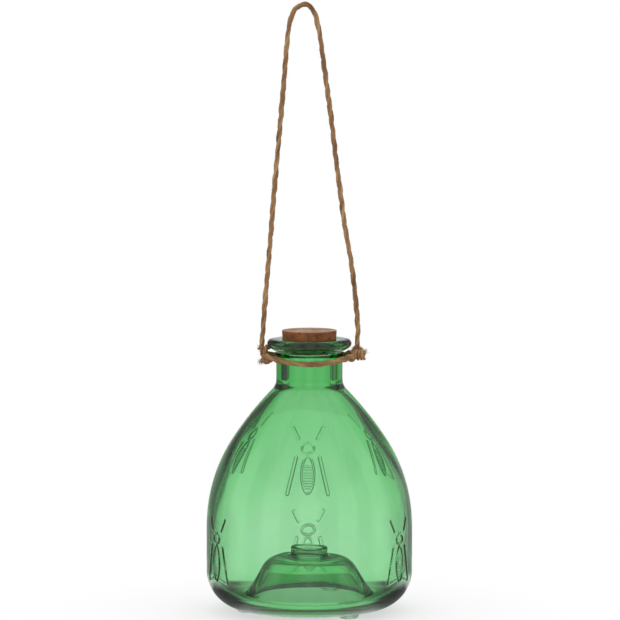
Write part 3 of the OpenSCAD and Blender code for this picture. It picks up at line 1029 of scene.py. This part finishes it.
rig.replaces(glass, "glass_bottle")
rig.slot(glass, "green_glass")
print("glass made", len(mesh.polygons), "faces")


# cork: a tapered stopper, pitted and crumbly as cut cork is
def corkOutline():
    top = bottle["height"] + corkShape["proud"]
    bottom = top - corkShape["height"]
    low, high, edge = corkRadius(bottom), corkRadius(top), corkShape["edge"]
    return (
        linePoints((0, bottom), (low - edge, bottom), 2.2)
        + arcPoints(low - edge, bottom + edge, edge, -90, 0, 0.4)[1:]
        + linePoints((low, bottom + edge), (high, top - edge), 0.5)[1:]
        + arcPoints(high - edge, top - edge, edge, 0, 90, 0.28)[1:]
        + linePoints((high - edge, top), (0, top), 0.5)[1:]
    )


cork = spinOutline("corkStopper", corkOutline(), corkShape["steps"])
co = getCoords(cork.data) / mm
radius = np.hypot(co[:, 0], co[:, 1])
topZ = bottle["height"] + corkShape["proud"]
onTop = np.clip((co[:, 2] - (topZ - 0.3)) / 0.25, 0, 1)  # 1 on the sawn top, 0 on the side
pits = np.zeros(len(co))
crumbs = np.zeros(len(co))
for i, p in enumerate(co):
    q = Vector(p)
    streak = noise.noise(Vector((q.x * 0.16, q.y * 0.5, q.z * 0.42)) + Vector((3.1, 0, 0)))
    cell = noise.noise(q * 0.62 + Vector((0, 9.7, 0)))
    speck = noise.noise(q * 1.5 + Vector((5.3, 0, 2.2)))
    crack = (streak * 0.75 + cell * 0.65 - 0.36) / 0.22
    pinhole = (speck - 0.42) / 0.2
    pits[i] = max(0, min(1, crack)) + 0.7 * max(0, min(1, pinhole))
    crumbs[i] = noise.noise(q * 0.9) * 0.6 + noise.noise(q * 2.1) * 0.4
pits = np.clip(pits, 0, 1)
deep = (pits * (corkShape["pitDeep"] - corkShape["topPits"] * onTop)
        + crumbs * corkShape["crumbs"] * (1 - 0.5 * onTop))
# the pits are a quarter as deep where the cork sits in the mouth
seat = np.clip((co[:, 2] - (bottle["height"] - 0.5)) / 1.0, 0.25, 1)
shrink = 1 - np.where(radius > 1, np.maximum(deep, -0.04) * seat * (1 - onTop) / np.maximum(radius, 1), 0)
co[:, :2] *= shrink[:, None]
co[:, 2] -= np.where(co[:, 2] > topZ - 0.4, np.maximum(deep, 0) * onTop, 0)
co[:, 2] += bottle["foot"]
setCoords(cork.data, co * mm)
addValues(cork.data, "pit", pits)
# this top mask also sets the paler top colour, which is partly painted light from above
addValues(cork.data, "sawnLitTop", onTop)
smoothShade(cork)
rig.ride(cork, "cork")
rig.replaces(cork, "cork_stopper")
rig.slot(cork, "cork")
print("cork made")


# clear feet: soft pads whose tops follow the glass, in mm and degrees
feet = {
    "ring": 39.5,
    "turn": 38.5,
    "radius": 6.5,
    "height": 2.2,
    "rise": 1.5,
    "heelEdge": 39.8,
    "clear": 0.06,
    "steps": 48,
}
footR, footH, footTop = feet["radius"], feet["height"], feet["height"] + feet["rise"]
footOutline = (
    linePoints((0, 0), (footR - footH, 0), 0.9)
    + arcPoints(footR - footH, footH, footH, -90, 0, 0.4)[1:]
    + linePoints((footR, footH), (footR, footTop), 0.4)[1:]
    + linePoints((footR, footTop), (0, footTop), 0.7)[1:]
)
footPieces = []
for i, node in enumerate(("foot_right", "foot_back", "foot_left")):
    foot = spinOutline("pad" + node[5:].capitalize(), footOutline, feet["steps"])
    turn = feet["turn"] + 120 * i
    co = getCoords(foot.data) / mm
    co[:, 0] += feet["ring"] * sinDeg(turn)
    co[:, 1] -= feet["ring"] * cosDeg(turn)
    away = np.hypot(co[:, 0], co[:, 1])
    corner = cornerR - halfChord(cornerR, np.maximum(away - (bodyR - cornerR), 0))
    heel = bottle["heelR"] - halfChord(bottle["heelR"], np.clip(feet["heelEdge"] - away, 0, bottle["heelR"]))
    co[:, 2] = np.minimum(co[:, 2], footH + corner + heel - feet["clear"])
    setCoords(foot.data, co * mm)
    smoothShade(foot)
    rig.ride(foot, "bottle")
    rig.replaces(foot, node)
    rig.slot(foot, "clear_pad")
    footPieces.append(foot)
print("feet made")


# bulk green glass: the colour comes from the depth of glass that light crosses
glassLook = {"ior": 1.5, "density": 200.0, "colour": (0.105, 0.745, 0.22, 1), "stipple": 0.5}
glassMat, tree, shader, out = newMaterial(
    "greenGlass", {"Base Color": (1, 1, 1, 1), "IOR": glassLook["ior"], "Transmission Weight": 1})
absorb = addNode(tree, "ShaderNodeVolumeAbsorption",
                 {"Color": glassLook["colour"], "Density": glassLook["density"]})
plug(tree, out.inputs["Volume"], absorb.outputs["Volume"])
stipple = addNode(tree, "ShaderNodeAttribute", attribute_name="stipple").outputs["Fac"]
plug(tree, shader.inputs["Roughness"], addMath(tree, "MULTIPLY", stipple, glassLook["stipple"]))
dress(glassMat, glass)

# jute: fibres drawn out along the twine, with a slow change of tone
juteLook = {
    "stretch": (3.0, 9.0, 1.0),
    "fibres": {"Scale": 3.0, "Detail": 6.0, "Roughness": 0.65},
    "colours": ((0.28, (86, 58, 35)), (0.42, (134, 98, 65)), (0.55, (160, 122, 82)), (0.72, (184, 152, 114))),
    "rough": 0.9,
    "bump": {"Strength": 0.5, "Distance": 0.0004},
}
juteMat, tree, shader, out = newMaterial("juteTwine", {"Roughness": juteLook["rough"]})
along = addNode(tree, "ShaderNodeUVMap", uv_map="along").outputs["UV"]
drawn = addNode(tree, "ShaderNodeMapping", {"Scale": juteLook["stretch"], "Vector": along}).outputs["Vector"]
fibres = addNode(tree, "ShaderNodeTexNoise", {**juteLook["fibres"], "Vector": drawn}).outputs["Fac"]
tone = addNode(tree, "ShaderNodeAttribute", attribute_name="tone").outputs["Fac"]
mixed = addMath(tree, "MULTIPLY", addMath(tree, "ADD", fibres, tone), 0.5)
plug(tree, shader.inputs["Base Color"], addRamp(tree, mixed, srgbStops(juteLook["colours"])))
bump = addNode(tree, "ShaderNodeBump", {**juteLook["bump"], "Height": fibres})
plug(tree, shader.inputs["Normal"], bump.outputs["Normal"])
dress(juteMat, *juteObjects)

# cork: paler on its sawn top, partly the sawn face and partly painted light from above; reddish brown on its side,
# partly painted shade; dark in its pits
corkLook = {
    "grain": {"Scale": 260.0, "Detail": 8.0, "Roughness": 0.7},
    "patches": {"Scale": 90.0, "Detail": 3.0},
    # the side ramp is darker partly as painted shade, and the top ramp is paler partly as painted light from above
    "side": ((0.36, (84, 42, 18)), (0.48, (128, 72, 34)), (0.58, (150, 90, 46)), (0.7, (172, 112, 62))),
    "top": ((0.34, (120, 86, 62)), (0.48, (156, 124, 98)), (0.6, (172, 142, 116)), (0.72, (186, 160, 136))),
    "pit": (66, 36, 18),
    "pitAmount": 0.62,
    "rough": 0.85,
    "bump": {"Strength": 0.45, "Distance": 0.0003},
}
corkMat, tree, shader, out = newMaterial("naturalCork", {"Roughness": corkLook["rough"]})
place = addNode(tree, "ShaderNodeTexCoord").outputs["Object"]
grain = addNode(tree, "ShaderNodeTexNoise", {**corkLook["grain"], "Vector": place}).outputs["Fac"]
patches = addNode(tree, "ShaderNodeTexNoise", {**corkLook["patches"], "Vector": place}).outputs["Fac"]
shade = addMath(tree, "MULTIPLY", addMath(tree, "ADD", grain, patches), 0.5)
brownShadedSideColour = addRamp(tree, shade, srgbStops(corkLook["side"]))
litSawnTopColour = addRamp(tree, shade, srgbStops(corkLook["top"]))
sawnLitTop = addNode(tree, "ShaderNodeAttribute", attribute_name="sawnLitTop").outputs["Fac"]
pit = addNode(tree, "ShaderNodeAttribute", attribute_name="pit").outputs["Fac"]
# paler top and darker side: partly the sawn face and the browned side, partly painted light from above and painted
# shade
litTopShadedSideColour = addColourMix(tree, sawnLitTop, brownShadedSideColour, litSawnTopColour)
dark = addMath(tree, "MULTIPLY", pit, corkLook["pitAmount"])
plug(tree, shader.inputs["Base Color"], addColourMix(tree, dark, litTopShadedSideColour, (*srgb(*corkLook["pit"]), 1)))
bump = addNode(tree, "ShaderNodeBump", {**corkLook["bump"], "Height": grain})
plug(tree, shader.inputs["Normal"], bump.outputs["Normal"])
dress(corkMat, cork)

# clear soft pads, a little hazy
padLook = {
    "colour": (0.93, 0.97, 0.94, 1),
    "ior": 1.45,
    "clear": 0.75,
    "ripple": {"Scale": 220.0, "Detail": 2.0},
    "haze": (0.02, 0.16),
}
padMat, tree, shader, out = newMaterial("clearPad", {
    "Base Color": padLook["colour"], "IOR": padLook["ior"], "Transmission Weight": padLook["clear"]})
place = addNode(tree, "ShaderNodeTexCoord").outputs["Object"]
ripple = addNode(tree, "ShaderNodeTexNoise", {**padLook["ripple"], "Vector": place}).outputs["Fac"]
plug(tree, shader.inputs["Roughness"], addRange(tree, ripple, 0.0, 1.0, *padLook["haze"], kind="LINEAR"))
dress(padMat, *footPieces)
print("materials made")


# floor: white paper that keeps a soft shadow; the glass sees it only close by, as a glow that is brightest in front,
# dimmer behind as a painted shadow under the bottle, and dark at its sides
stageLook = {
    "radius": 0.5,
    "paper": 0.38,
    "glow": 0.6,
    "near": 0.078,
    "far": 0.1,
    "front": 1.0,
    "back": 0.52,
    "frontFrom": -0.04,
    "frontTo": -0.01,
    "side": 0.03,
    "sideMirror": 0.4,
    "sideFrom": 0.04,
    "sideTo": 0.053,
}
white = (1, 1, 1, 1)
deselectAll()
bpy.ops.mesh.primitive_circle_add(vertices=96, radius=stageLook["radius"], fill_type="NGON")
floor = bpy.context.object
floor.name = "floor"
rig.stage(floor)
floorMat, tree, shader, out = newMaterial("floorPaper", {
    "Base Color": (stageLook["paper"],) * 3 + (1,), "Roughness": 1, "Specular IOR Level": 0,
    "Emission Color": white, "Emission Strength": stageLook["glow"]})
ray = addNode(tree, "ShaderNodeLightPath").outputs
inGlass = addMath(tree, "MAXIMUM", ray["Is Glossy Ray"], ray["Is Transmission Ray"])
place = addNode(tree, "ShaderNodeTexCoord").outputs["Object"]
away = addNode(tree, "ShaderNodeVectorMath", {0: place}, operation="LENGTH").outputs["Value"]
fade = addRange(tree, away, stageLook["near"], stageLook["far"])
axes = addNode(tree, "ShaderNodeSeparateXYZ", {0: place}).outputs
# the glow is dimmed behind its front edge: a painted contact shadow under the bottle, seen only by the glass
front = addRange(tree, axes["Y"], stageLook["frontFrom"], stageLook["frontTo"],
                 stageLook["front"], stageLook["back"])
dim = addMix(tree, ray["Is Reflection Ray"], stageLook["side"], stageLook["sideMirror"])
aside = addMath(tree, "ABSOLUTE", axes["X"])
sides = addRange(tree, aside, stageLook["sideFrom"], stageLook["sideTo"], 1.0, dim)
lit = addMath(tree, "MULTIPLY", front, sides)
paper = addNode(tree, "ShaderNodeEmission", {"Color": white, "Strength": lit})
clear = addNode(tree, "ShaderNodeBsdfTransparent")
near = addNode(tree, "ShaderNodeMixShader", {0: fade, 1: paper.outputs[0], 2: clear.outputs[0]})
whole = addNode(tree, "ShaderNodeMixShader", {0: inGlass, 1: shader.outputs[0], 2: near.outputs[0]})
plug(tree, out.inputs["Surface"], whole.outputs[0])
dress(floorMat, floor)

# light: an even white room; the glass sees bright panels with dark gaps and a dark flag at each side, which
# end a little below the horizon, and two dark stripes behind
room = {
    "low": 0.7,
    "high": 1.25,
    "lowAt": -0.2,
    "highAt": 1.0,
    "bright": 1.0,
    "panels": 8,
    "gap": 0.22,
    "frontGap": 0.45,
    "gapFrom": -0.3,
    "gapTo": 0.6,
    "gapInner": 9.0,
    "gapOuter": 15.0,
    "roof": 0.9,
    "roofFrom": 0.6,
    "roofTo": 0.85,
    "wallFrom": -0.22,
    "wallTo": -0.16,
    "shine": 0.25,
    "stripes": ((-0.5, 1.0), (-0.44, 0.15), (-0.34, 0.15), (-0.29, 1.0),
                (0.06, 1.0), (0.12, 0.15), (0.27, 0.15), (0.36, 1.0)),  # heights and how bright
    "stripeFrom": 28,
    "stripeTo": 42,
}
flags = {"turn": 48, "inner": 14, "outer": 19, "left": 0.05, "right": 0.4}
world = bpy.data.worlds.new("studio")
scene.world = world
world.use_nodes = True
tree = world.node_tree
tree.nodes.clear()
out = tree.nodes.new("ShaderNodeOutputWorld")
ways = addNode(tree, "ShaderNodeTexCoord").outputs["Generated"]
axes = addNode(tree, "ShaderNodeSeparateXYZ", {0: ways}).outputs
azimuth = addMath(tree, "ARCTAN2", axes["X"], axes["Y"])
wave = addMath(tree, "COSINE", addMath(tree, "MULTIPLY", azimuth, room["panels"]))
gap = addRange(tree, axes["Y"], room["gapFrom"], room["gapTo"], room["frontGap"], room["gap"])
gapEnds = [cosDeg(room["panels"] * room[end]) for end in ("gapOuter", "gapInner")]
walls = addRange(tree, wave, *gapEnds, gap, room["bright"])
for way, dark in ((1, flags["left"]), (-1, flags["right"])):
    facing = addMath(tree, "COSINE", addMath(tree, "ADD", azimuth, way * math.radians(flags["turn"])))
    flag = addRange(tree, facing, cosDeg(flags["outer"]), cosDeg(flags["inner"]), 1.0, dark)
    walls = addMath(tree, "MULTIPLY", walls, flag)
walls = addMix(tree, addRange(tree, axes["Z"], room["wallFrom"], room["wallTo"]), room["bright"], walls)
level = addMath(tree, "MULTIPLY_ADD", axes["Z"], 0.5, 0.5)
stripes = addRamp(tree, level, [(0.5 + 0.5 * z, (v, v, v)) for z, v in room["stripes"]])
ahead = addMath(tree, "COSINE", azimuth)
behind = addRange(tree, ahead, cosDeg(room["stripeTo"]), cosDeg(room["stripeFrom"]))
walls = addMath(tree, "MULTIPLY", walls, addMix(tree, behind, 1.0, stripes))
over = addRange(tree, addMath(tree, "ABSOLUTE", axes["Z"]), room["roofFrom"], room["roofTo"])
shown = addMix(tree, over, walls, room["roof"])
ray = addNode(tree, "ShaderNodeLightPath").outputs
mirror = addMath(tree, "MULTIPLY", ray["Is Reflection Ray"], room["shine"])
shown = addMix(tree, mirror, shown, room["bright"])
inGlass = addMath(tree, "MAXIMUM", ray["Is Glossy Ray"], ray["Is Transmission Ray"])
upDown = addRange(tree, axes["Z"], room["lowAt"], room["highAt"], room["low"], room["high"], kind="LINEAR")
light = addMix(tree, inGlass, upDown, shown)
seen = addMix(tree, ray["Is Camera Ray"], light, 1.0)
back = addNode(tree, "ShaderNodeBackground", {"Color": white, "Strength": seen})
plug(tree, out.inputs["Surface"], back.outputs[0])
scene.cycles.caustics_refractive = True
scene.cycles.caustics_reflective = True
scene.cycles.max_bounces = 24
scene.cycles.transmission_bounces = 20
scene.cycles.glossy_bounces = 12
scene.cycles.transparent_max_bounces = 16

# a white card behind the neck, which only the glass sees
card = {"left": -0.05, "right": 0.056, "low": 0.121, "top": 0.166, "back": 0.08, "seen": 0.9}
deselectAll()
bpy.ops.mesh.primitive_plane_add(size=1)
neckCard = bpy.context.object
neckCard.name = "neckCard"
setCoords(neckCard.data, np.array([
    (card[x], card["back"], card[z]) for z in ("low", "top") for x in ("left", "right")]))
for way in ("camera", "diffuse", "glossy", "shadow", "volume_scatter"):
    setattr(neckCard, "visible_" + way, False)
cardMat, tree, shader, out = newMaterial("cardPaper")
paper = addNode(tree, "ShaderNodeEmission", {"Color": white, "Strength": card["seen"]})
plug(tree, out.inputs["Surface"], paper.outputs[0])
dress(cardMat, neckCard)
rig.stage(neckCard)
print("stage and light set")

with open("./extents.json", "w") as sizes:
    json.dump({"cad": [list(map(float, p)) for p in cadBox], "visual": [list(map(float, p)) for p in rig.bounds()]}, sizes)
